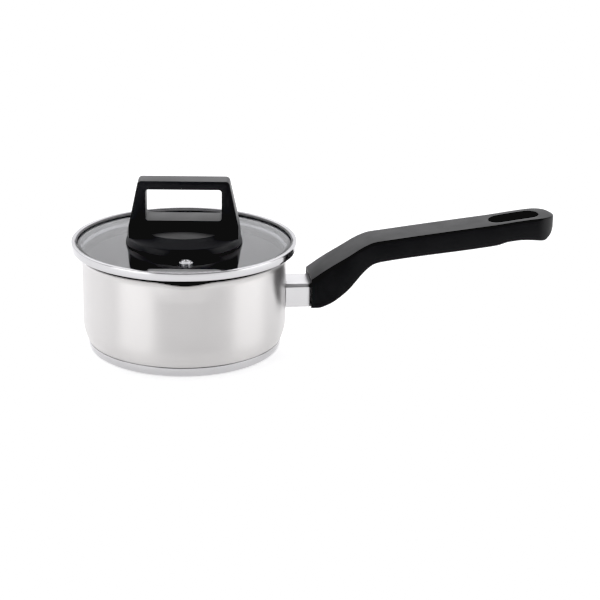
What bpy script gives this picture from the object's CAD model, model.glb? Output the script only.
"""Looks of the saucepan with glass lid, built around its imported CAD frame: metres, +Z up, handle along +X."""

import math

import bmesh
import bpy
from mathutils import Matrix, Vector


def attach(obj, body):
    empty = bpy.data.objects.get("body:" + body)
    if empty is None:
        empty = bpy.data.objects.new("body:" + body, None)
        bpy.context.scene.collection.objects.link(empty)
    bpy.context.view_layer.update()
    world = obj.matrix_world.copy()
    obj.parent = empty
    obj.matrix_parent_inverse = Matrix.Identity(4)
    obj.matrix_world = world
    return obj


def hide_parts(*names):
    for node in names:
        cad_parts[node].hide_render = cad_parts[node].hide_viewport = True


MM = 0.001
GAP = 0.3 * MM

# Steps round a full turn for large and for small round pieces, and degrees between the points of a corner
TURN_STEPS = 160
SMALL_STEPS = 48
ARC_DEGREES = 15
# The largest share of a side that one rounded corner takes, and the radius below which a point is on the axis
CORNER_SHARE = 0.49
ON_AXIS = 1e-9
# How far a cutter reaches past the surface that it opens
OVERSHOOT = 3.0 * MM

# Camera and studio
CAMERA_LOCATION = Vector((-0.0814, -1.3607, 0.5113))
CAMERA_AIM = Vector((0.09147, -0.0118, 0.0384))
CAMERA_ROLL = math.radians(0.88)
CAMERA_LENS = 108
CAMERA_SENSOR = 36
BLACK_LEVEL = 0.031
DARKEST_TONE = 0.0045
FLOOR_GLOW = 0.50
FLOOR_HALF = 6.0
ROOM_LIGHT = 0.27
BACKDROP_LIGHT = 1.15
CEILING_SHARE = 0.85
# Where the world goes over from room to backdrop (towards +Y) and from walls to ceiling (towards +Z)
BACKDROP_RAMP = (-0.40, 0.35)
CEILING_RAMP = (0.72, 0.92)
STUDIO_CENTRE = Vector((0.03, 0.0, 0.07))
# Name, azimuth (0 in front, 90 to the right) and elevation in degrees, distance and size in metres, and watts
SOFTBOXES = (("left_softbox", -57, 16, 1.3, (0.95, 0.9), 4.5),
             ("right_softbox", 70, 16, 1.3, (0.95, 0.9), 4.5),
             ("back_softbox", 176, 38, 1.5, (1.2, 0.5), 2.6))

# Steel's brush marks: a line's width, its depth at full strength, and how much smudges change the roughness
BRUSH_LINE = 0.10 * MM
BRUSH_DEPTH = 0.08 * MM
SMUDGE = 0.015
# Colours between a darker and a lighter tone
GLASS_TINT = ((0.68, 0.685, 0.70), (0.70, 0.705, 0.72))
SILICONE_GREY = ((0.24, 0.24, 0.245), (0.31, 0.31, 0.315))
FLOOR_WHITE = ((0.90, 0.90, 0.90), (0.93, 0.93, 0.93))
# Textures, as features per metre
STEEL_CLOUDS = (38.0, 38.0, 30.0)
GLASS_WIPES = (14.0, 14.0, 14.0)
PHENOLIC_GRAIN = 2600.0
PHENOLIC_CLOUDS = 55.0
SILICONE_GRAIN = 1500.0
SILICONE_BLOOM = 180.0
METAL_GRAIN = 1800.0
METAL_CLOUDS = 220.0
FLOOR_CLOUDS = (3.0, 3.0, 3.0)
# How pointed an edge is where its wear starts and ends, and how far a face looks up where bloom settles on it
WORN_EDGE = (0.52, 0.58)
BLOOM_FACING = (0.94, 0.99)

# Pan shell and foot
WALL = 0.8 * MM
PAN_RADIUS = 80.8 * MM
PAN_HEIGHT = 79.0 * MM
LIP_RADIUS = 83.6 * MM
LIP_EDGE = 78.4 * MM
LIP_START = 73.0 * MM
CORNER_TOP = 25.0 * MM
CORNER_BOTTOM = 8.6 * MM
CORNER_CURVE = 2.2
FLOOR_UNDERSIDE = 5.9 * MM
SPOUT_ANGLE = math.radians(-93)
SPOUT_HALF_ANGLE = math.radians(17)
SPOUT_OUT = 3.0 * MM
SPOUT_DIP = 1.1 * MM
SPOUT_START = 60.0 * MM
FOOT_RADIUS = 77.0 * MM
FOOT_HEIGHT = 8.1 * MM
CAP_SHEET = 0.7 * MM
LIP_STEPS = 12
WALL_STEPS = 6
CORNER_STEPS = 18

# Lid
GLASS_RADIUS = 86.0 * MM
GLASS_THICKNESS = 3.0 * MM
GLASS_CROWN = 86.4 * MM
GLASS_RISE = 0.4 * MM
GLASS_HOLE = 4.0 * MM
GLASS_STEPS = 16
GLASS_EDGE_WIDTH = 0.8 * MM
GLASS_EDGE_GRIND = 0.3 * MM
GLASS_EDGE_DEPTHS = (0.35 * MM, 0.9 * MM)
# The rim from its edge on the glass over the top and round to its underside, (radius, height, bend) in mm
RIM_LINE = ((85.75, 87.9, 0.0), (86.3, 88.6, 0.5), (88.8, 88.5, 0.8), (89.0, 86.2, 2.0),
            (89.0, 83.8, 1.2), (88.6, 82.2, 0.4), (84.2, 81.9, 0.7), (82.6, 81.2, 0.6))
RIM_SHEET = 0.5 * MM
SKIRT_RADIUS = 78.9 * MM
SKIRT_BOTTOM = 71.5 * MM
# The rim is unpolished below this height, on faces that look outward more than upward by the tilt
RIM_DULL_BELOW = 82.15 * MM
RIM_DULL_TILT = 0.3
VENT_DISTANCE = 56.0 * MM
VENT_ANGLE = math.radians(-92.2)
VENT_BORE = 1.8 * MM
VENT_HOLE = 3.6 * MM
VENT_NECK = 3.3 * MM
VENT_FLANGE = 5.5 * MM
VENT_TAIL = 0.8 * MM
VENT_DULL_RADIUS = 1.9 * MM
# Room on top of the gap below a flat face that stands on the crowned glass
CROWN_ROOM = 0.1 * MM

# Knob
KNOB_TURN = math.radians(-6.1)
KNOB_RADIUS = 46.1 * MM
KNOB_BOTTOM = 86.7 * MM
SHOULDER_RADIUS = 44.8 * MM
SHOULDER = 92.0 * MM
# The ledge round the bail's foot, a shallow cone that rises to a flat middle
LEDGE_RADIUS = 33.1 * MM
LEDGE = 98.0 * MM
LEDGE_RISE = 2.4 * MM
LEDGE_FLAT = 13.0 * MM
KNOB_TOP = 137.3 * MM
# The bail, a four-cornered bridge whose sides lean inward, and the window through it
BAIL_FOOT = 88.0 * MM
BAIL_HALF_TOP = 35.55 * MM
BAIL_HALF_FOOT = 46.0 * MM
BAIL_DEPTH_TOP = 16.6 * MM
BAIL_DEPTH_FOOT = 28.2 * MM
BAIL_INSET = 0.15 * MM
BAIL_CORNER = 3.4 * MM
BAIL_EDGE_ROUND = 1.2 * MM
BAIL_EDGE_STEPS = 4
BAIL_EDGE_DEGREES = 35
WINDOW_HALF = 29.7 * MM
WINDOW_BOTTOM = 106.5 * MM
WINDOW_TOP = 130.7 * MM
WINDOW_CORNER = 2.2 * MM
INSERT_RADIUS = 3.6 * MM
INSERT_TOP = 98.0 * MM

# Handle
HANDLE_START = 99.7 * MM
HANDLE_END = 297.8 * MM
ROOT_HALF = 18.2 * MM
GRIP_HALF = 16.05 * MM
TAPER_START = 128.0 * MM
TAPER_END = 158.0 * MM
HANDLE_STATIONS = 120
TIP_STATIONS = 26
# The half width that ends the tip, and the largest share of the half width that a long edge's rounding takes
TIP_HALF = 0.05 * MM
TIP_CORNER_SHARE = 0.7
SLOT_START = 245.1 * MM
SLOT_END = 285.5 * MM
SLOT_HALF = 9.2 * MM
SLOT_EDGE = 0.6 * MM
SLOT_EDGE_STEPS = 5
# The handle's side outline, drawn through these (distance from the pan's axis, height) in mm
HANDLE_TOP_LINE = ((99.7, 56.8), (112, 65.4), (128, 75.0), (142, 83.3), (150, 86.3), (160, 87.7),
                   (243, 97.8), (292, 103.2), (297.8, 102.2))
HANDLE_UNDER_LINE = ((99.7, 32.9), (105, 32.8), (114, 35.6), (127, 44.8), (145, 64.4), (151, 68.2),
                     (160, 70.0), (243, 80.0), (250, 81.1), (260, 83.9), (272, 85.0), (281, 84.6),
                     (288, 84.0), (294, 87.4), (297.8, 92.8))
HANDLE_CRISP_CORNER = 1.2 * MM
HANDLE_SOFT_CORNER = 2.0 * MM
# The open-bottomed mouth that takes the ferrule's end, flared almost to the handle's top and side edges
MOUTH_END = 101.7 * MM
MOUTH_UNDERCUT = 1.2 * MM
MOUTH_LIP = 0.5 * MM

# Ferrule, and the pockets that its fixing sits in
JOINT_LEVEL = 43.1 * MM
FERRULE_HALF_WIDTH = 15.0 * MM
FERRULE_HALF_HEIGHT = 9.5 * MM
FERRULE_CHAMFER = 2.3 * MM
FERRULE_LOWER_CHAMFER = 0.5 * MM
FERRULE_CORNER = 0.5 * MM
FERRULE_LOWER_CORNER = 0.2 * MM
FERRULE_SHEET = 1.0 * MM
FERRULE_STEP = 1.5 * MM
# How much a chamfer narrows for each millimetre that the section is drawn inward
CHAMFER_NARROWING = 0.4
# The rounded edge of the far end, as (distance from the end, share of the full section)
FERRULE_END_EDGE = ((0.35 * MM, 1.0), (0.1 * MM, 0.994), (0.0, 0.98))
TANG_HALF_WIDTH = 6.3 * MM
TANG_HALF_HEIGHT = 5.3 * MM
TANG_END = 107.3 * MM
POCKET_CORNER = 0.5 * MM
SCREW_SEAT = 112.5 * MM
SCREW_CLEARANCE = 3.1 * MM
SCREW_RECESS_RADIUS = 5.6 * MM
RECESS_END = 140.0 * MM


# ---------------------------------------------------------------- mesh helpers

def rounded_path(corners, closed=False):
    """Points along a line whose corners (x, y, radius) are rounded off."""
    points = []
    count = len(corners)
    for index, (x, y, radius) in enumerate(corners):
        corner = Vector((x, y))
        if radius <= 0.0 or (not closed and index in (0, count - 1)):
            points.append(corner)
            continue
        before = Vector(corners[index - 1][:2]) - corner
        after = Vector(corners[(index + 1) % count][:2]) - corner
        half = before.angle(after) / 2
        reach = min(radius / math.tan(half), CORNER_SHARE * before.length, CORNER_SHARE * after.length)
        radius = reach * math.tan(half)
        start = corner + before.normalized() * reach
        end = corner + after.normalized() * reach
        centre = corner + (before.normalized() + after.normalized()).normalized() * (radius / math.sin(half))
        turn = math.pi - 2 * half
        steps = max(2, math.ceil(math.degrees(turn) / ARC_DEGREES))
        for step in range(steps + 1):
            share = step / steps
            spoke = (start - centre).slerp(end - centre, share)
            points.append(centre + spoke.normalized() * radius)
    return points


def sheet_outline(path, thickness):
    """Close a (radius, height) path into a sheet's section by offsetting it to its right-hand side."""
    inside = []
    for index, point in enumerate(path):
        along = (path[min(index + 1, len(path) - 1)] - path[max(index - 1, 0)]).normalized()
        inside.append(Vector((max(0.0, point.x + along.y * thickness), point.y - along.x * thickness)))
    return list(path) + inside[::-1]


def revolve(profile, steps, shape=None):
    """Turn a closed outline of (radius, height) points about Z; a point on the axis becomes a pole."""
    builder = bmesh.new()
    rings = []
    for radius, height in profile:
        if radius <= ON_AXIS:
            rings.append([builder.verts.new((0.0, 0.0, height))])
            continue
        ring = []
        for step in range(steps):
            angle = 2 * math.pi * step / steps
            reach, level = (radius, height) if shape is None else shape(radius, height, angle)
            ring.append(builder.verts.new((reach * math.cos(angle), reach * math.sin(angle), level)))
        rings.append(ring)
    for first, second in zip(rings, rings[1:] + rings[:1]):
        if len(first) == len(second) == 1:
            continue
        for step in range(steps):
            after = (step + 1) % steps
            corners = (first[step % len(first)], first[after % len(first)],
                       second[after % len(second)], second[step % len(second)])
            builder.faces.new(list(dict.fromkeys(corners)))
    return builder


def loft(sections, closed=False):
    """Skin a row of outlines with equal numbers of points; a closed row joins up, an open one is capped."""
    builder = bmesh.new()
    rings = [[builder.verts.new(point) for point in section] for section in sections]
    pairs = zip(rings, rings[1:] + rings[:1]) if closed else zip(rings, rings[1:])
    for first, second in pairs:
        for step in range(len(first)):
            after = (step + 1) % len(first)
            builder.faces.new((first[step], first[after], second[after], second[step]))
    if not closed:
        builder.faces.new(rings[0])
        builder.faces.new(rings[-1])
    return builder


def new_object(name, builder):
    """Turn a bmesh into an object whose faces point outward."""
    bmesh.ops.recalc_face_normals(builder, faces=builder.faces)
    mesh = bpy.data.meshes.new(name)
    builder.to_mesh(mesh)
    builder.free()
    item = bpy.data.objects.new(name, mesh)
    bpy.context.scene.collection.objects.link(item)
    return item


def combine(item, builder, operation="DIFFERENCE"):
    """Cut or join a solid at once, and drop the solid."""
    tool = new_object("tool", builder)
    modifier = item.modifiers.new("combine", "BOOLEAN")
    modifier.operation = operation
    modifier.solver = "EXACT"
    modifier.object = tool
    apply_modifiers(item)
    mesh = tool.data
    bpy.data.objects.remove(tool)
    bpy.data.meshes.remove(mesh)


def apply_modifiers(item):
    """Replace an object's mesh by what its modifiers make of it."""
    graph = bpy.context.evaluated_depsgraph_get()
    graph.update()
    mesh = bpy.data.meshes.new_from_object(item.evaluated_get(graph))
    old = item.data
    item.modifiers.clear()
    item.data = mesh
    bpy.data.meshes.remove(old)


def round_edges(item, width, segments, angle):
    """Bevel every edge sharper than an angle in degrees."""
    modifier = item.modifiers.new("round_edges", "BEVEL")
    modifier.width = width
    modifier.segments = segments
    modifier.limit_method = "ANGLE"
    modifier.angle_limit = math.radians(angle)
    modifier.use_clamp_overlap = True
    apply_modifiers(item)


def show(item, material, body, slot, *nodes, smooth_angle=35):
    """Finish a piece: smooth shading, its material, the body it rides on and the CAD nodes it stands for."""
    item.data.shade_smooth()
    item.data.set_sharp_from_angle(angle=math.radians(smooth_angle))
    item.data.materials.clear()
    item.data.materials.append(material)
    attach(item, body)
    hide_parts(*nodes)


def use_for_faces(item, material, chosen):
    """Give a piece a second material on the faces that a test chooses."""
    item.data.materials.append(material)
    for face in item.data.polygons:
        if chosen(face):
            face.material_index = 1


def ease(share):
    """Ease from 0 to 1."""
    share = min(1.0, max(0.0, share))
    return share * share * (3 - 2 * share)


def curve_height(line, distance):
    """Height of a smooth line at a distance; its slopes are limited so that it never overshoots."""
    points = [(x * MM, z * MM) for x, z in line]
    slopes = [(b[1] - a[1]) / (b[0] - a[0]) for a, b in zip(points, points[1:])]
    tangents = [slopes[0]]
    for left, right in zip(slopes, slopes[1:]):
        tangents.append(0.0 if left * right <= 0 else 2 * left * right / (left + right))
    tangents.append(slopes[-1])
    index = 0
    while index < len(slopes) - 1 and distance > points[index + 1][0]:
        index += 1
    span = points[index + 1][0] - points[index][0]
    share = min(1.0, max(0.0, (distance - points[index][0]) / span))
    return ((1 + 2 * share) * (1 - share) ** 2 * points[index][1]
            + share * (1 - share) ** 2 * span * tangents[index]
            + share ** 2 * (3 - 2 * share) * points[index + 1][1]
            + share ** 2 * (share - 1) * span * tangents[index + 1])


# ---------------------------------------------------------------- materials

def add_node(tree, kind, **settings):
    """A shader node with its settings; a key that names an input sets that input."""
    node = tree.nodes.new(kind)
    for key, value in settings.items():
        name = key.replace("_", " ").title()
        if name in node.inputs:
            node.inputs[name].default_value = value
        else:
            setattr(node, key, value)
    return node


def new_material(name, **inputs):
    """A Principled BSDF material whose named inputs are set."""
    material = bpy.data.materials.new(name)
    material.use_nodes = True
    tree = material.node_tree
    shader = tree.nodes["Principled BSDF"]
    for key, value in inputs.items():
        shader.inputs[key.replace("_", " ")].default_value = value
    return material, tree, shader


def scaled_coordinates(tree, scale=(1.0, 1.0, 1.0)):
    """Object coordinates, stretched by a scale on each axis."""
    source = add_node(tree, "ShaderNodeTexCoord")
    stretch = add_node(tree, "ShaderNodeMapping")
    stretch.inputs["Scale"].default_value = scale
    tree.links.new(source.outputs["Object"], stretch.inputs["Vector"])
    return stretch.outputs["Vector"]


def turned_coordinates(tree, around, across):
    """Coordinates for lathe marks: slow round the axis, fast along the wall and outward on a flat."""
    source = add_node(tree, "ShaderNodeTexCoord")
    parts = add_node(tree, "ShaderNodeSeparateXYZ")
    tree.links.new(source.outputs["Object"], parts.inputs["Vector"])
    flat = add_node(tree, "ShaderNodeVectorMath", operation="MULTIPLY")
    flat.inputs[1].default_value = (1.0, 1.0, 0.0)
    tree.links.new(source.outputs["Object"], flat.inputs[0])
    reach = add_node(tree, "ShaderNodeVectorMath", operation="LENGTH")
    tree.links.new(flat.outputs["Vector"], reach.inputs[0])
    line = add_node(tree, "ShaderNodeMath", operation="MULTIPLY_ADD")
    line.inputs[1].default_value = 0.8
    tree.links.new(reach.outputs["Value"], line.inputs[0])
    tree.links.new(parts.outputs["Z"], line.inputs[2])
    joined = add_node(tree, "ShaderNodeCombineXYZ")
    for axis, value, factor in (("X", parts.outputs["X"], around), ("Y", parts.outputs["Y"], around),
                                ("Z", line.outputs["Value"], across)):
        scaled = add_node(tree, "ShaderNodeMath", operation="MULTIPLY")
        scaled.inputs[1].default_value = factor
        tree.links.new(value, scaled.inputs[0])
        tree.links.new(scaled.outputs["Value"], joined.inputs[axis])
    return joined.outputs["Vector"]


def noise(tree, vector, scale, detail=3.0, roughness=0.5):
    """Noise between 0 and 1."""
    node = add_node(tree, "ShaderNodeTexNoise", scale=scale, detail=detail, roughness=roughness)
    tree.links.new(vector, node.inputs["Vector"])
    return node.outputs["Fac"]


def spread(tree, value, low, high, start=0.3, end=0.7):
    """Map a value from start and end, by default the usual span of noise, to low and high."""
    node = add_node(tree, "ShaderNodeMapRange")
    for name, number in (("From Min", start), ("From Max", end), ("To Min", low), ("To Max", high)):
        node.inputs[name].default_value = number
    tree.links.new(value, node.inputs["Value"])
    return node.outputs["Result"]


def add_values(tree, first, second):
    """The sum of two values."""
    node = add_node(tree, "ShaderNodeMath", operation="ADD")
    tree.links.new(first, node.inputs[0])
    tree.links.new(second, node.inputs[1])
    return node.outputs["Value"]


def shade_between(tree, factor, dark, light):
    """A colour between two, by a factor."""
    node = add_node(tree, "ShaderNodeMix", data_type="RGBA")
    tree.links.new(factor, node.inputs["Factor"])
    first, second = [socket for socket in node.inputs if socket.type == "RGBA"]
    first.default_value = (*dark, 1.0)
    second.default_value = (*light, 1.0)
    return next(socket for socket in node.outputs if socket.type == "RGBA")


def add_bump(tree, shader, height, distance, strength=1.0):
    """Raise the surface by a height value, over a distance in metres."""
    node = add_node(tree, "ShaderNodeBump", strength=strength, distance=distance)
    tree.links.new(height, node.inputs["Height"])
    tree.links.new(node.outputs["Normal"], shader.inputs["Normal"])


def steel(name, dark, light, roughness, brushing, anisotropy):
    """Stainless steel with marks that run round the axis: fine lines, broader bands and faint smudges."""
    material, tree, shader = new_material(name, Metallic=1.0, Anisotropic=anisotropy)
    shader.inputs["Anisotropic Rotation"].default_value = 0.25
    tangent = add_node(tree, "ShaderNodeTangent", direction_type="RADIAL", axis="Z")
    tree.links.new(tangent.outputs["Tangent"], shader.inputs["Tangent"])
    lines = noise(tree, turned_coordinates(tree, 3.0, 1.0 / BRUSH_LINE), 1.0, detail=3.0, roughness=0.6)
    bands = noise(tree, turned_coordinates(tree, 1.0, 0.3 / BRUSH_LINE), 1.0, detail=2.0)
    clouds = noise(tree, scaled_coordinates(tree, STEEL_CLOUDS), 1.0, detail=4.0)
    marks = add_values(tree, spread(tree, lines, -brushing, brushing), spread(tree, clouds, -SMUDGE, SMUDGE))
    gloss = add_node(tree, "ShaderNodeMath", operation="ADD")
    gloss.inputs[1].default_value = roughness
    tree.links.new(marks, gloss.inputs[0])
    tree.links.new(gloss.outputs["Value"], shader.inputs["Roughness"])
    tone = add_values(tree, spread(tree, lines, -0.3, 0.3), spread(tree, bands, 0.35, 0.65))
    tree.links.new(shade_between(tree, tone, dark, light), shader.inputs["Base Color"])
    add_bump(tree, shader, lines, BRUSH_DEPTH * brushing)
    return material


def glass():
    """Toughened glass with a faint cool grey tint and barely visible wipe marks."""
    material, tree, shader = new_material("clear_glass", IOR=1.52, Transmission_Weight=1.0)
    wipes = noise(tree, scaled_coordinates(tree, GLASS_WIPES), 1.0, detail=3.0)
    tree.links.new(spread(tree, wipes, 0.0, 0.008, start=0.5, end=0.8), shader.inputs["Roughness"])
    tree.links.new(shade_between(tree, wipes, *GLASS_TINT), shader.inputs["Base Color"])
    return material


def phenolic(name, dark, bloom):
    """Black moulded phenolic: fine grain, uneven gloss, worn edges, a greyer bloom on faces that look up."""
    material, tree, shader = new_material(name, IOR=1.42)
    even = scaled_coordinates(tree)
    grain = noise(tree, even, PHENOLIC_GRAIN, detail=2.0)
    cloud = noise(tree, even, PHENOLIC_CLOUDS, detail=4.0)
    surface = add_node(tree, "ShaderNodeNewGeometry")
    worn = spread(tree, surface.outputs["Pointiness"], 0.0, -0.06, *WORN_EDGE)
    rough = add_values(tree, spread(tree, cloud, 0.40, 0.48), worn)
    tree.links.new(rough, shader.inputs["Roughness"])
    tone = add_values(tree, spread(tree, cloud, 0.0, 0.05), spread(tree, grain, 0.0, 0.05))
    facing = add_node(tree, "ShaderNodeSeparateXYZ")
    tree.links.new(surface.outputs["Normal"], facing.inputs["Vector"])
    settled = spread(tree, facing.outputs["Z"], 0.0, 0.9, *BLOOM_FACING)
    shade = shade_between(tree, add_values(tree, tone, settled), dark, bloom)
    tree.links.new(shade, shader.inputs["Base Color"])
    add_bump(tree, shader, grain, 0.02 * MM, strength=0.5)
    return material


def silicone():
    """Grey moulded silicone, matt with a dusty bloom."""
    material, tree, shader = new_material("grey_silicone", IOR=1.43)
    even = scaled_coordinates(tree)
    bloom = noise(tree, even, SILICONE_BLOOM, detail=4.0)
    tree.links.new(spread(tree, bloom, 0.5, 0.65), shader.inputs["Roughness"])
    tree.links.new(shade_between(tree, bloom, *SILICONE_GREY), shader.inputs["Base Color"])
    add_bump(tree, shader, noise(tree, even, SILICONE_GRAIN), 0.01 * MM, strength=0.4)
    return material


def plain_metal(name, dark, light, roughness):
    """Cast or turned metal with a fine even texture."""
    material, tree, shader = new_material(name, Metallic=1.0)
    even = scaled_coordinates(tree)
    cloud = noise(tree, even, METAL_CLOUDS, detail=5.0)
    tree.links.new(spread(tree, cloud, roughness - 0.05, roughness + 0.07), shader.inputs["Roughness"])
    tree.links.new(shade_between(tree, cloud, dark, light), shader.inputs["Base Color"])
    add_bump(tree, shader, noise(tree, even, METAL_GRAIN), 0.01 * MM, strength=0.3)
    return material


# ---------------------------------------------------------------- pan

def spout_shape(radius, height, angle):
    """Push the lip out and a little down at the pouring spout."""
    away = abs((angle - SPOUT_ANGLE + math.pi) % (2 * math.pi) - math.pi)
    across = ease(1 - away / SPOUT_HALF_ANGLE)
    up = ease((height - SPOUT_START) / (PAN_HEIGHT - SPOUT_START))
    return radius + SPOUT_OUT * across * up, height - SPOUT_DIP * across * up


def make_pan_shell(material):
    """The vessel: flared lip, straight wall, curved lower corner, and a step where the foot's cap begins."""
    path = []
    for step in range(LIP_STEPS + 1):
        share = step / LIP_STEPS
        path.append(Vector((PAN_RADIUS + (LIP_RADIUS - PAN_RADIUS) * (1 - share) ** 2,
                            LIP_EDGE + (LIP_START - LIP_EDGE) * share)))
    for step in range(1, WALL_STEPS + 1):
        path.append(Vector((PAN_RADIUS, LIP_START + (SPOUT_START - LIP_START) * step / WALL_STEPS)))
    for step in range(CORNER_STEPS + 1):
        share = step / CORNER_STEPS
        path.append(Vector((PAN_RADIUS - (PAN_RADIUS - FOOT_RADIUS) * share ** CORNER_CURVE,
                            CORNER_TOP + (CORNER_BOTTOM - CORNER_TOP) * share)))
    foot = [(FOOT_RADIUS, CORNER_BOTTOM, 0.0), (76.1 * MM, CORNER_BOTTOM - 0.1 * MM, 0.2 * MM),
            (75.5 * MM, 7.4 * MM, 1.0 * MM), (73.4 * MM, 6.3 * MM, 2.0 * MM),
            (70.0 * MM, FLOOR_UNDERSIDE, 3.0 * MM), (0.0, FLOOR_UNDERSIDE, 0.0)]
    path += rounded_path(foot)[1:]
    shell = new_object("pan_shell", revolve(sheet_outline(path, WALL), TURN_STEPS, spout_shape))
    show(shell, material, "pan", "brushed_steel", "pan_body")


def make_foot_cap(material):
    """The polished cap over the heat disc, with its rolled edge."""
    inside = FOOT_RADIUS - CAP_SHEET
    outline = [(0.0, 0.0, 0.0), (73.6 * MM, 0.0, 2.5 * MM), (76.3 * MM, 1.9 * MM, 3.0 * MM),
               (FOOT_RADIUS, 5.2 * MM, 4.0 * MM), (FOOT_RADIUS, FOOT_HEIGHT, 0.25 * MM),
               (inside, FOOT_HEIGHT, 0.25 * MM), (inside, 5.3 * MM, 3.0 * MM),
               (75.6 * MM, 2.5 * MM, 2.5 * MM), (73.2 * MM, CAP_SHEET, 2.0 * MM), (0.0, CAP_SHEET, 0.0)]
    cap = new_object("foot_cap", revolve(rounded_path(outline), TURN_STEPS))
    show(cap, material, "pan", "polished_steel", "base_cap")


# ---------------------------------------------------------------- lid

def glass_top(radius):
    """Height of the glass's upper face, which is a little crowned."""
    return GLASS_CROWN - GLASS_RISE * (radius / GLASS_RADIUS) ** 2


def vent_centre():
    """Offset of the vent's axis from the lid's axis."""
    return Vector((VENT_DISTANCE * math.cos(VENT_ANGLE), VENT_DISTANCE * math.sin(VENT_ANGLE), 0.0))


def make_glass(material):
    """The crowned disc, with a ground edge, the knob's hole and the vent's hole."""
    flat = GLASS_RADIUS - GLASS_EDGE_WIDTH
    spans = [GLASS_HOLE + (flat - GLASS_HOLE) * step / GLASS_STEPS for step in range(GLASS_STEPS + 1)]
    outline = [(radius, glass_top(radius)) for radius in spans]
    edge = glass_top(GLASS_RADIUS)
    middle = edge - GLASS_THICKNESS / 2
    depths = GLASS_EDGE_DEPTHS + tuple(GLASS_THICKNESS - depth for depth in reversed(GLASS_EDGE_DEPTHS))
    for depth in depths:
        height = edge - depth
        ground = GLASS_EDGE_GRIND * (abs(height - middle) / (GLASS_THICKNESS / 2)) ** 4
        outline.append((GLASS_RADIUS - ground, height))
    outline += [(radius, glass_top(radius) - GLASS_THICKNESS) for radius in reversed(spans)]
    disc = new_object("lid_pane", revolve(outline, TURN_STEPS))
    low = edge - GLASS_THICKNESS - OVERSHOOT
    high = GLASS_CROWN + OVERSHOOT
    drill = revolve([(0.0, low), (VENT_HOLE, low), (VENT_HOLE, high), (0.0, high)], SMALL_STEPS)
    bmesh.ops.translate(drill, vec=vent_centre(), verts=drill.verts)
    combine(disc, drill)
    show(disc, material, "lid", "glass", "lid_glass")


def make_rim(material, dull):
    """The steel rim, rolled over the glass at the top and turned down into the pan as a skirt."""
    seat = PAN_HEIGHT + GAP
    path = [(radius * MM, height * MM, bend * MM) for radius, height, bend in RIM_LINE]
    path += [(82.0 * MM, seat, 0.4 * MM), (80.4 * MM, seat, 0.9 * MM), (79.1 * MM, seat - 1.3 * MM, 0.9 * MM),
             (SKIRT_RADIUS, 76.0 * MM, 2.0 * MM), (SKIRT_RADIUS, SKIRT_BOTTOM, 0.0)]
    rim = new_object("lid_ring", revolve(sheet_outline(rounded_path(path), RIM_SHEET), TURN_STEPS))
    show(rim, material, "lid", "polished_steel", "lid_rim")

    def is_dull(face):
        outward = face.normal.dot(Vector((face.center.x, face.center.y, 0.0)).normalized())
        return face.center.z < RIM_DULL_BELOW and outward - face.normal.z > RIM_DULL_TILT

    use_for_faces(rim, dull, is_dull)


def make_vent(material, dull):
    """The steam vent's eyelet: a rolled crown round a dark bore, through the glass to its clinched tail."""
    top = glass_top(VENT_DISTANCE) + GAP + CROWN_ROOM
    tail = top - GLASS_THICKNESS - 4 * GAP - 0.6 * MM
    outline = [(VENT_BORE, top + 0.6 * MM, 0.2 * MM), (VENT_BORE + 0.3 * MM, top + 1.5 * MM, 0.3 * MM),
               (3.6 * MM, top + 1.4 * MM, 0.9 * MM), (4.8 * MM, top + 0.6 * MM, 0.6 * MM),
               (VENT_FLANGE, top + 0.45 * MM, 0.2 * MM), (VENT_FLANGE, top, 0.15 * MM),
               (VENT_NECK, top, 0.0), (VENT_NECK, tail, 0.0), (4.6 * MM, tail, 0.15 * MM),
               (4.4 * MM, tail - VENT_TAIL, 0.3 * MM), (VENT_BORE, tail - VENT_TAIL, 0.2 * MM)]
    builder = revolve(rounded_path(outline, closed=True), SMALL_STEPS)
    bmesh.ops.translate(builder, vec=vent_centre(), verts=builder.verts)
    crown = new_object("vent_crown", builder)
    show(crown, material, "lid", "polished_steel", "vent_eyelet")
    use_for_faces(crown, dull, lambda face: (face.center - vent_centre()).xy.length < VENT_DULL_RADIUS)


# ---------------------------------------------------------------- knob

def bail_half_depth(height):
    """Half the bail's depth, which grows toward its foot."""
    share = (height - BAIL_FOOT) / (KNOB_TOP - BAIL_FOOT)
    return (BAIL_DEPTH_FOOT + (BAIL_DEPTH_TOP - BAIL_DEPTH_FOOT) * share) / 2


def bail_prism(outline, widen=1.0):
    """A solid between the bail's front and back faces with this front outline."""
    return loft([[(x, side * widen * bail_half_depth(z), z) for x, z in outline] for side in (-1, 1)])


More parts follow.
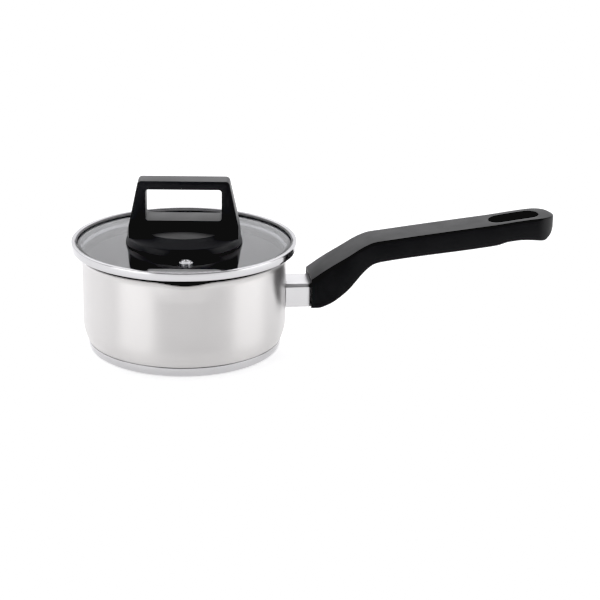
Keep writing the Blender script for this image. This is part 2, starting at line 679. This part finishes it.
def make_knob(material):
    """The moulded knob: a round foot with a sloping shoulder and a ledge, under a four-cornered bail."""
    sides = [(BAIL_HALF_TOP, KNOB_TOP, BAIL_CORNER), (-BAIL_HALF_TOP, KNOB_TOP, BAIL_CORNER),
             (-BAIL_HALF_FOOT, BAIL_FOOT, 0.0), (BAIL_HALF_FOOT, BAIL_FOOT, 0.0)]
    knob = new_object("knob_moulding", bail_prism(rounded_path(sides, closed=True)))
    opening = [(WINDOW_HALF, WINDOW_TOP, WINDOW_CORNER), (-WINDOW_HALF, WINDOW_TOP, WINDOW_CORNER),
               (-WINDOW_HALF, WINDOW_BOTTOM, WINDOW_CORNER), (WINDOW_HALF, WINDOW_BOTTOM, WINDOW_CORNER)]
    combine(knob, bail_prism(rounded_path(opening, closed=True), widen=1.5))
    side = SHOULDER_RADIUS - BAIL_INSET
    drum = [(0.0, 95.4 * MM), (32.0 * MM, 95.2 * MM), (side, 91.4 * MM), (side, KNOB_TOP + OVERSHOOT),
            (0.0, KNOB_TOP + OVERSHOOT)]
    combine(knob, revolve(drum, TURN_STEPS), "INTERSECT")
    round_edges(knob, BAIL_EDGE_ROUND, BAIL_EDGE_STEPS, BAIL_EDGE_DEGREES)
    boss = GLASS_CROWN + GAP + CROWN_ROOM
    foot = [(0.0, LEDGE + LEDGE_RISE, 0.0), (LEDGE_FLAT, LEDGE + LEDGE_RISE, 6.0 * MM),
            (LEDGE_RADIUS, LEDGE, 0.8 * MM), (43.9 * MM, 92.8 * MM, 1.5 * MM),
            (SHOULDER_RADIUS, SHOULDER, 0.8 * MM), (KNOB_RADIUS, KNOB_BOTTOM + 0.4 * MM, 0.4 * MM),
            (45.8 * MM, KNOB_BOTTOM, 0.3 * MM), (43.8 * MM, KNOB_BOTTOM, 0.3 * MM),
            (43.0 * MM, 89.2 * MM, 1.5 * MM), (32.0 * MM, 93.2 * MM, 3.0 * MM),
            (12.0 * MM, 93.2 * MM, 1.0 * MM), (11.0 * MM, boss, 0.5 * MM), (0.0, boss, 0.0)]
    combine(knob, revolve(rounded_path(foot), TURN_STEPS), "UNION")
    pocket = INSERT_RADIUS + GAP
    low = KNOB_BOTTOM - OVERSHOOT
    drill = [(0.0, low), (pocket, low), (pocket, INSERT_TOP + GAP), (0.0, INSERT_TOP + GAP)]
    combine(knob, revolve(drill, SMALL_STEPS))
    knob.data.transform(Matrix.Rotation(KNOB_TURN, 4, "Z"))
    show(knob, material, "lid", "phenolic", "knob", smooth_angle=28)


# ---------------------------------------------------------------- handle

def handle_half_width(distance):
    """Half the handle's width, wide at the root and round at the tip."""
    half = ROOT_HALF + (GRIP_HALF - ROOT_HALF) * ease((distance - TAPER_START) / (TAPER_END - TAPER_START))
    past = distance - (HANDLE_END - GRIP_HALF)
    return math.sqrt(max(half * half - past * past, 0.0)) if past > 0 else half


def handle_section(distance):
    """The handle's cross-section at a distance from the pan's axis: crisp above, softer below."""
    half = max(handle_half_width(distance), TIP_HALF)
    top = curve_height(HANDLE_TOP_LINE, distance)
    under = curve_height(HANDLE_UNDER_LINE, distance)
    crisp = min(HANDLE_CRISP_CORNER, TIP_CORNER_SHARE * half)
    soft = min(HANDLE_SOFT_CORNER, TIP_CORNER_SHARE * half)
    corners = [(half, top, crisp), (-half, top, crisp), (-half, under, soft), (half, under, soft)]
    outline = rounded_path(corners, closed=True)
    return [(distance, y, z) for y, z in outline]


def slot_ring(offset, line, shift):
    """An outline round the hanging slot, wider by an offset and shifted in height from a handle line."""
    half = SLOT_HALF + offset
    middle = (SLOT_START + SLOT_END) / 2
    reach = (SLOT_END - SLOT_START) / 2 + offset
    corners = [(reach, half, half), (-reach, half, half), (-reach, -half, half), (reach, -half, half)]
    outline = rounded_path(corners, closed=True)
    return [(middle + x, y, curve_height(line, middle + x) + shift) for x, y in outline]


def slot_tool():
    """The hanging slot's cutter, whose edges flare where it meets the top and the underside."""
    turns = [math.pi / 2 * step / SLOT_EDGE_STEPS for step in range(SLOT_EDGE_STEPS + 1)]
    rings = [slot_ring(SLOT_EDGE, HANDLE_TOP_LINE, OVERSHOOT)]
    for turn in turns:
        flare = SLOT_EDGE * (1 - math.sin(turn))
        rings.append(slot_ring(flare, HANDLE_TOP_LINE, -SLOT_EDGE * (1 - math.cos(turn))))
    for turn in reversed(turns):
        flare = SLOT_EDGE * (1 - math.sin(turn))
        rings.append(slot_ring(flare, HANDLE_UNDER_LINE, SLOT_EDGE * (1 - math.cos(turn))))
    rings.append(slot_ring(SLOT_EDGE, HANDLE_UNDER_LINE, -OVERSHOOT))
    return loft(rings)


def along_x(builder, level):
    """Lay a piece turned about Z along the X axis at a height."""
    placed = Matrix.Translation((0, 0, level)) @ Matrix.Rotation(math.pi / 2, 4, "Y")
    bmesh.ops.transform(builder, matrix=placed, verts=builder.verts)
    return builder


def mouth_tool():
    """The cutter for the mouth that takes the ferrule's end, flared towards the handle's edge."""
    edge = curve_height(HANDLE_TOP_LINE, HANDLE_START)
    brim = (ROOT_HALF - MOUTH_LIP, edge - MOUTH_LIP, HANDLE_CRISP_CORNER)
    seat = (FERRULE_HALF_WIDTH + GAP, JOINT_LEVEL + FERRULE_HALF_HEIGHT + GAP, FERRULE_CHAMFER)
    below = JOINT_LEVEL - 2 * FERRULE_HALF_HEIGHT
    sections = []
    for distance, (half, top, cut) in ((PAN_RADIUS, brim), (HANDLE_START, brim),
                                       (HANDLE_START + MOUTH_UNDERCUT, seat), (MOUTH_END, seat)):
        outline = [(half, below), (half, top - cut), (half - cut, top),
                   (cut - half, top), (-half, top - cut), (-half, below)]
        sections.append([(distance, y, z) for y, z in outline])
    return loft(sections)


def make_handle(material):
    """The moulded handle with its hanging slot and the pockets for the tang and the screw."""
    tip = HANDLE_END - GRIP_HALF
    spans = [HANDLE_START + (tip - HANDLE_START) * step / HANDLE_STATIONS for step in range(HANDLE_STATIONS)]
    spans += [tip + GRIP_HALF * math.sin(math.pi / 2 * step / TIP_STATIONS) for step in range(TIP_STATIONS)]
    handle = new_object("handle_moulding", loft([handle_section(distance) for distance in spans]))
    combine(handle, slot_tool())
    combine(handle, mouth_tool())
    low = JOINT_LEVEL - TANG_HALF_HEIGHT
    high = JOINT_LEVEL + TANG_HALF_HEIGHT
    corners = [(TANG_HALF_WIDTH, high, POCKET_CORNER), (-TANG_HALF_WIDTH, high, POCKET_CORNER),
               (-TANG_HALF_WIDTH, low, POCKET_CORNER), (TANG_HALF_WIDTH, low, POCKET_CORNER)]
    pocket = rounded_path(corners, closed=True)
    combine(handle, loft([[(x, y, z) for y, z in pocket] for x in (PAN_RADIUS, TANG_END)]))
    start = TANG_END - 1 * MM
    recess = [(0.0, start), (SCREW_CLEARANCE, start), (SCREW_CLEARANCE, SCREW_SEAT),
              (SCREW_RECESS_RADIUS, SCREW_SEAT), (SCREW_RECESS_RADIUS, RECESS_END), (0.0, RECESS_END)]
    combine(handle, along_x(revolve(recess, SMALL_STEPS), JOINT_LEVEL))
    show(handle, material, "pan", "phenolic", "handle_body", smooth_angle=30)


def ferrule_outline(inset):
    """The ferrule's section, chamfered above and nearly sharp below, in steps that follow the round wall."""
    half = FERRULE_HALF_WIDTH - inset
    tall = FERRULE_HALF_HEIGHT - inset
    cut = FERRULE_CHAMFER - CHAMFER_NARROWING * inset
    corners = []
    for across, up in ((1, 1), (-1, 1), (-1, -1), (1, -1)):
        bevel, soft = (cut, FERRULE_CORNER) if up > 0 else (FERRULE_LOWER_CHAMFER, FERRULE_LOWER_CORNER)
        pair = [(across * half, up * (tall - bevel), soft), (across * (half - bevel), up * tall, soft)]
        corners += pair if across * up > 0 else pair[::-1]
    rough = rounded_path(corners, closed=True)
    points = []
    for start, end in zip(rough, rough[1:] + rough[:1]):
        steps = max(1, math.ceil((end - start).length / FERRULE_STEP))
        points += [start.lerp(end, step / steps) for step in range(steps)]
    return points


def make_ferrule(material):
    """The polished sleeve between the wall and the handle, its near end shaped to the round wall."""
    outer = ferrule_outline(0.0)
    inner = ferrule_outline(FERRULE_SHEET)
    far = MOUTH_END - GAP
    near = PAN_RADIUS + GAP
    count = min(len(outer), len(inner))
    outer = [outer[index * len(outer) // count] for index in range(count)]
    inner = [inner[index * len(inner) // count] for index in range(count)]
    rings = [[(math.sqrt(near ** 2 - y * y), y, JOINT_LEVEL + z) for y, z in outline]
             for outline in (inner, outer)]
    rings += [[(far - back, y * scale, JOINT_LEVEL + z * scale) for y, z in outer]
              for back, scale in FERRULE_END_EDGE]
    rings.append([(far, y, JOINT_LEVEL + z) for y, z in inner])
    sleeve = new_object("ferrule_sleeve", loft(rings, closed=True))
    show(sleeve, material, "pan", "polished_steel", "handle_ferrule", smooth_angle=40)


# ---------------------------------------------------------------- studio

def place_camera():
    """The one camera, above and in front of the pan."""
    data = bpy.data.cameras.new("camera")
    data.lens = CAMERA_LENS
    data.sensor_width = CAMERA_SENSOR
    camera = bpy.data.objects.new("camera", data)
    bpy.context.scene.collection.objects.link(camera)
    forward = (CAMERA_AIM - CAMERA_LOCATION).normalized()
    level = forward.cross(Vector((0, 0, 1))).normalized()
    plumb = level.cross(forward)
    right = level * math.cos(CAMERA_ROLL) + plumb * math.sin(CAMERA_ROLL)
    up = plumb * math.cos(CAMERA_ROLL) - level * math.sin(CAMERA_ROLL)
    turn = Matrix((right, up, -forward)).transposed()
    camera.matrix_world = Matrix.Translation(CAMERA_LOCATION) @ turn.to_4x4()
    bpy.context.scene.camera = camera


def add_softbox(name, azimuth, elevation, distance, size, power):
    """A soft white area light aimed at the pan."""
    data = bpy.data.lights.new(name, "AREA")
    data.shape = "RECTANGLE"
    data.size, data.size_y = size
    data.energy = power
    turn, rise = math.radians(azimuth), math.radians(elevation)
    outward = Vector((math.sin(turn) * math.cos(rise), -math.cos(turn) * math.cos(rise), math.sin(rise)))
    light = bpy.data.objects.new(name, data)
    light.location = STUDIO_CENTRE + outward * distance
    light.rotation_euler = (-outward).to_track_quat("-Z", "Y").to_euler()
    light.visible_camera = False
    bpy.context.scene.collection.objects.link(light)


def light_studio():
    """A white backdrop behind, a dimmer room in front and overhead, and softboxes at the sides and behind."""
    world = bpy.data.worlds.new("studio")
    world.use_nodes = True
    tree = world.node_tree
    source = add_node(tree, "ShaderNodeTexCoord")
    parts = add_node(tree, "ShaderNodeSeparateXYZ")
    tree.links.new(source.outputs["Generated"], parts.inputs["Vector"])
    level = spread(tree, parts.outputs["Y"], ROOM_LIGHT, BACKDROP_LIGHT, *BACKDROP_RAMP)
    ceiling = spread(tree, parts.outputs["Z"], 1.0, CEILING_SHARE, *CEILING_RAMP)
    strength = add_node(tree, "ShaderNodeMath", operation="MULTIPLY")
    tree.links.new(level, strength.inputs[0])
    tree.links.new(ceiling, strength.inputs[1])
    sky = tree.nodes["Background"]
    sky.inputs["Color"].default_value = (0.98, 0.98, 1.0, 1.0)
    tree.links.new(strength.outputs["Value"], sky.inputs["Strength"])
    bpy.context.scene.world = world
    for softbox in SOFTBOXES:
        add_softbox(*softbox)


def make_floor():
    """A pale, matt, very slightly uneven floor that glows a little, so that it stays white."""
    material, tree, shader = new_material("pale_floor", Roughness=0.7)
    cloud = noise(tree, scaled_coordinates(tree, FLOOR_CLOUDS), 1.0, detail=2.0)
    tree.links.new(shade_between(tree, cloud, *FLOOR_WHITE), shader.inputs["Base Color"])
    shader.inputs["Emission Color"].default_value = (1.0, 1.0, 1.0, 1.0)
    shader.inputs["Emission Strength"].default_value = FLOOR_GLOW
    builder = bmesh.new()
    bmesh.ops.create_grid(builder, x_segments=8, y_segments=8, size=FLOOR_HALF)
    floor = new_object("floor", builder)
    floor.data.materials.append(material)


def set_tones():
    """Plain colours, whose deepest shades all end in one near-black tone."""
    view = bpy.context.scene.view_settings
    view.view_transform = "Standard"
    view.use_curve_mapping = True
    view.curve_mapping.black_level = (BLACK_LEVEL, BLACK_LEVEL, BLACK_LEVEL)
    view.curve_mapping.extend = "HORIZONTAL"
    overall = view.curve_mapping.curves[3]
    overall.points[0].location = (0.0, DARKEST_TONE)
    view.curve_mapping.update()


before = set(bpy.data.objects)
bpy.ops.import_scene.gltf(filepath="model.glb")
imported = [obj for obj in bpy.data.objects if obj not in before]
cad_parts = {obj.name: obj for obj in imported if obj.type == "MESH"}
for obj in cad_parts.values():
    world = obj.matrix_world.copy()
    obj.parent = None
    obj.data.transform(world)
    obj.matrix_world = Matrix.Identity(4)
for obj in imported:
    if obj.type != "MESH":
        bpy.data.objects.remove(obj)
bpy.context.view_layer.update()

brushed_steel = steel("satin_steel", (0.61, 0.597, 0.592), (0.65, 0.637, 0.632),
                      roughness=0.36, brushing=0.04, anisotropy=0.85)
polished_steel = steel("mirror_steel", (0.54, 0.535, 0.545), (0.575, 0.57, 0.58),
                       roughness=0.14, brushing=0.015, anisotropy=0.3)
ferrule_steel = steel("ferrule_steel", (0.62, 0.615, 0.62), (0.66, 0.655, 0.66),
                      roughness=0.30, brushing=0.015, anisotropy=0.3)
dull_steel = plain_metal("dull_steel", (0.08, 0.076, 0.07), (0.11, 0.105, 0.098), 0.5)
clear_glass = glass()
handle_phenolic = phenolic("handle_phenolic", (0.002, 0.002, 0.0025), (0.006, 0.006, 0.0065))
knob_phenolic = phenolic("knob_phenolic", (0.016, 0.016, 0.0175), (0.052, 0.052, 0.052))
grey_silicone = silicone()
aluminium = plain_metal("cast_aluminium", (0.56, 0.57, 0.58), (0.66, 0.67, 0.68), 0.42)
brass = plain_metal("turned_brass", (0.62, 0.45, 0.18), (0.75, 0.57, 0.27), 0.32)
bright_steel = plain_metal("bright_hardware", (0.60, 0.60, 0.61), (0.70, 0.70, 0.71), 0.24)

make_pan_shell(brushed_steel)
make_foot_cap(polished_steel)
make_glass(clear_glass)
make_rim(polished_steel, dull_steel)
make_vent(bright_steel, dull_steel)
make_knob(knob_phenolic)
make_handle(handle_phenolic)
make_ferrule(ferrule_steel)

CAD_MATERIALS = {
    "base_heat_disc": aluminium, "handle_tang": brushed_steel, "handle_washer": bright_steel,
    "handle_spring_washer": bright_steel, "handle_screw": bright_steel, "rim_seal": grey_silicone,
    "vent_washer": bright_steel, "knob_insert": brass, "knob_seat_washer": grey_silicone,
    "knob_washer": bright_steel, "knob_spring_washer": bright_steel, "knob_screw": bright_steel,
}
for node, material in CAD_MATERIALS.items():
    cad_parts[node].material_slots[0].material = material

make_floor()
light_studio()
place_camera()
set_tones()
